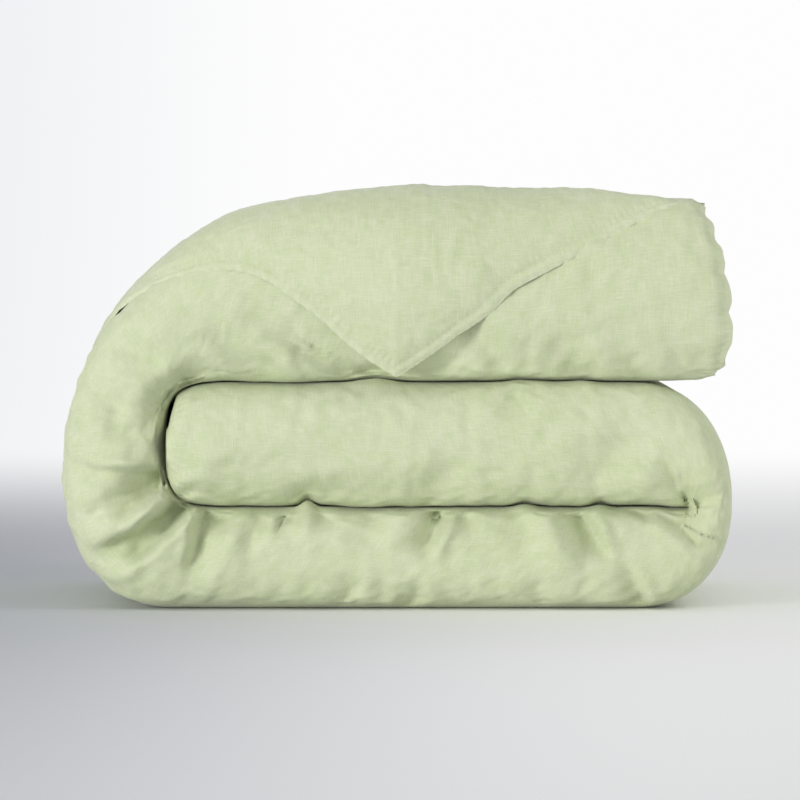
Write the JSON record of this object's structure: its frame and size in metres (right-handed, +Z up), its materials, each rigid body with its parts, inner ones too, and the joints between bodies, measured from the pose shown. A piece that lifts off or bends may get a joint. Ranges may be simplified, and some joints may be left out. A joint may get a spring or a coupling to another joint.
{
  "type": "duvet",
  "caption": "Linen-covered duvet folded in three across and rolled into a pile of three layers, with one corner turned down over the front.",
  "frame": {"origin": "under the middle of the pile's box, on the surface it lies on", "axes": "+X to the right along the layers, -Y to the front where the corner hangs, +Z up"},
  "size_m": [0.698, 0.5006, 0.4409],
  "materials": {
    "linen": "washed sage green linen, fine plain weave with slubs",
    "lining": "the same washed linen, inside of the cover",
    "filling": "undyed cotton ticking over soft filling",
    "button_shell": "pale shell-like button",
    "tape": "pale cotton tape"
  },
  "bodies": {
    "root": {"fill_bottom_outer_third": "filling", "fill_bottom_middle_third": "filling", "fill_bottom_inner_third": "filling", "fill_right_fold_outer_third": "filling", "fill_right_fold_middle_third": "filling", "fill_right_fold_inner_third": "filling", "fill_middle_outer_third": "filling", "fill_middle_middle_third": "filling", "fill_middle_inner_third": "filling", "cover_face_bottom": "linen", "cover_lining_bottom": "lining", "cover_face_right_fold": "linen", "cover_lining_right_fold": "lining", "cover_face_middle": "linen", "cover_lining_middle": "lining", "closure_placket": "lining", "closure_facing": "lining", "closure_button_1": "button_shell", "closure_button_2": "button_shell", "closure_button_3": "button_shell", "corner_tie_inner_end_outer": "tape", "corner_tie_inner_end_inner": "tape", "care_label": "tape"},
    "bend_lower": {"fill_bend_lower_outer_third": "filling", "fill_bend_lower_middle_third": "filling", "fill_bend_lower_inner_third": "filling", "cover_face_bend_lower": "linen", "cover_lining_bend_lower": "lining"},
    "bend_middle": {"fill_bend_middle_outer_third": "filling", "fill_bend_middle_middle_third": "filling", "fill_bend_middle_inner_third": "filling", "cover_face_bend_middle": "linen", "cover_lining_bend_middle": "lining"},
    "bend_upper": {"fill_bend_upper_outer_third": "filling", "fill_bend_upper_middle_third": "filling", "fill_bend_upper_inner_third": "filling", "cover_face_bend_upper": "linen", "cover_lining_bend_upper": "lining", "flap_lining_bend_upper": "lining", "flap_fill_bend_upper": "filling", "flap_face_bend_upper": "linen"},
    "top_layer": {"fill_top_end_outer_third": "filling", "fill_top_end_middle_third": "filling", "fill_top_end_inner_third": "filling", "fill_top_inner_outer_third": "filling", "fill_top_inner_middle_third": "filling", "fill_top_inner_inner_third": "filling", "cover_face_top": "linen", "cover_lining_top": "lining", "flap_lining_top_layer": "lining", "flap_fill_top_layer": "filling", "flap_face_top_layer": "linen", "corner_tie_outer_end": "tape", "flap_lining_apron": "lining", "flap_fill_apron": "filling", "flap_face_apron": "linen"},
    "flap_tip": {"flap_face_tip": "linen", "flap_fill_tip": "filling", "flap_lining_tip": "lining"}
  },
  "joints": [
    {"name": "unroll_lower", "type": "hinge", "parent": "root", "child": "bend_lower", "pos_m": [-0.266, 0, 0], "axis": [0, -1, 0], "range_deg": [0, 45]},
    {"name": "unroll_middle", "type": "hinge", "parent": "bend_lower", "child": "bend_middle", "pos_m": [-0.356, 0, 0.09], "axis": [0, -1, 0], "range_deg": [0, 45]},
    {"name": "unroll_upper", "type": "hinge", "parent": "bend_middle", "child": "bend_upper", "pos_m": [-0.356, 0, 0.3255], "axis": [0, -1, 0], "range_deg": [0, 45]},
    {"name": "unroll_top", "type": "hinge", "parent": "bend_upper", "child": "top_layer", "pos_m": [-0.24, 0, 0.4415], "axis": [0, -1, 0], "range_deg": [0, 45]},
    {"name": "corner_lift", "type": "hinge", "parent": "top_layer", "child": "flap_tip", "pos_m": [0.0655, -0.25025, 0.3859], "axis": [-0.9787, 0, -0.2052], "range_deg": [0, 90]}
  ],
  "couplings": [
    {"joint": "unroll_middle", "follows": "unroll_lower", "ratio": 1},
    {"joint": "unroll_upper", "follows": "unroll_lower", "ratio": 1},
    {"joint": "unroll_top", "follows": "unroll_lower", "ratio": 1}
  ]
}
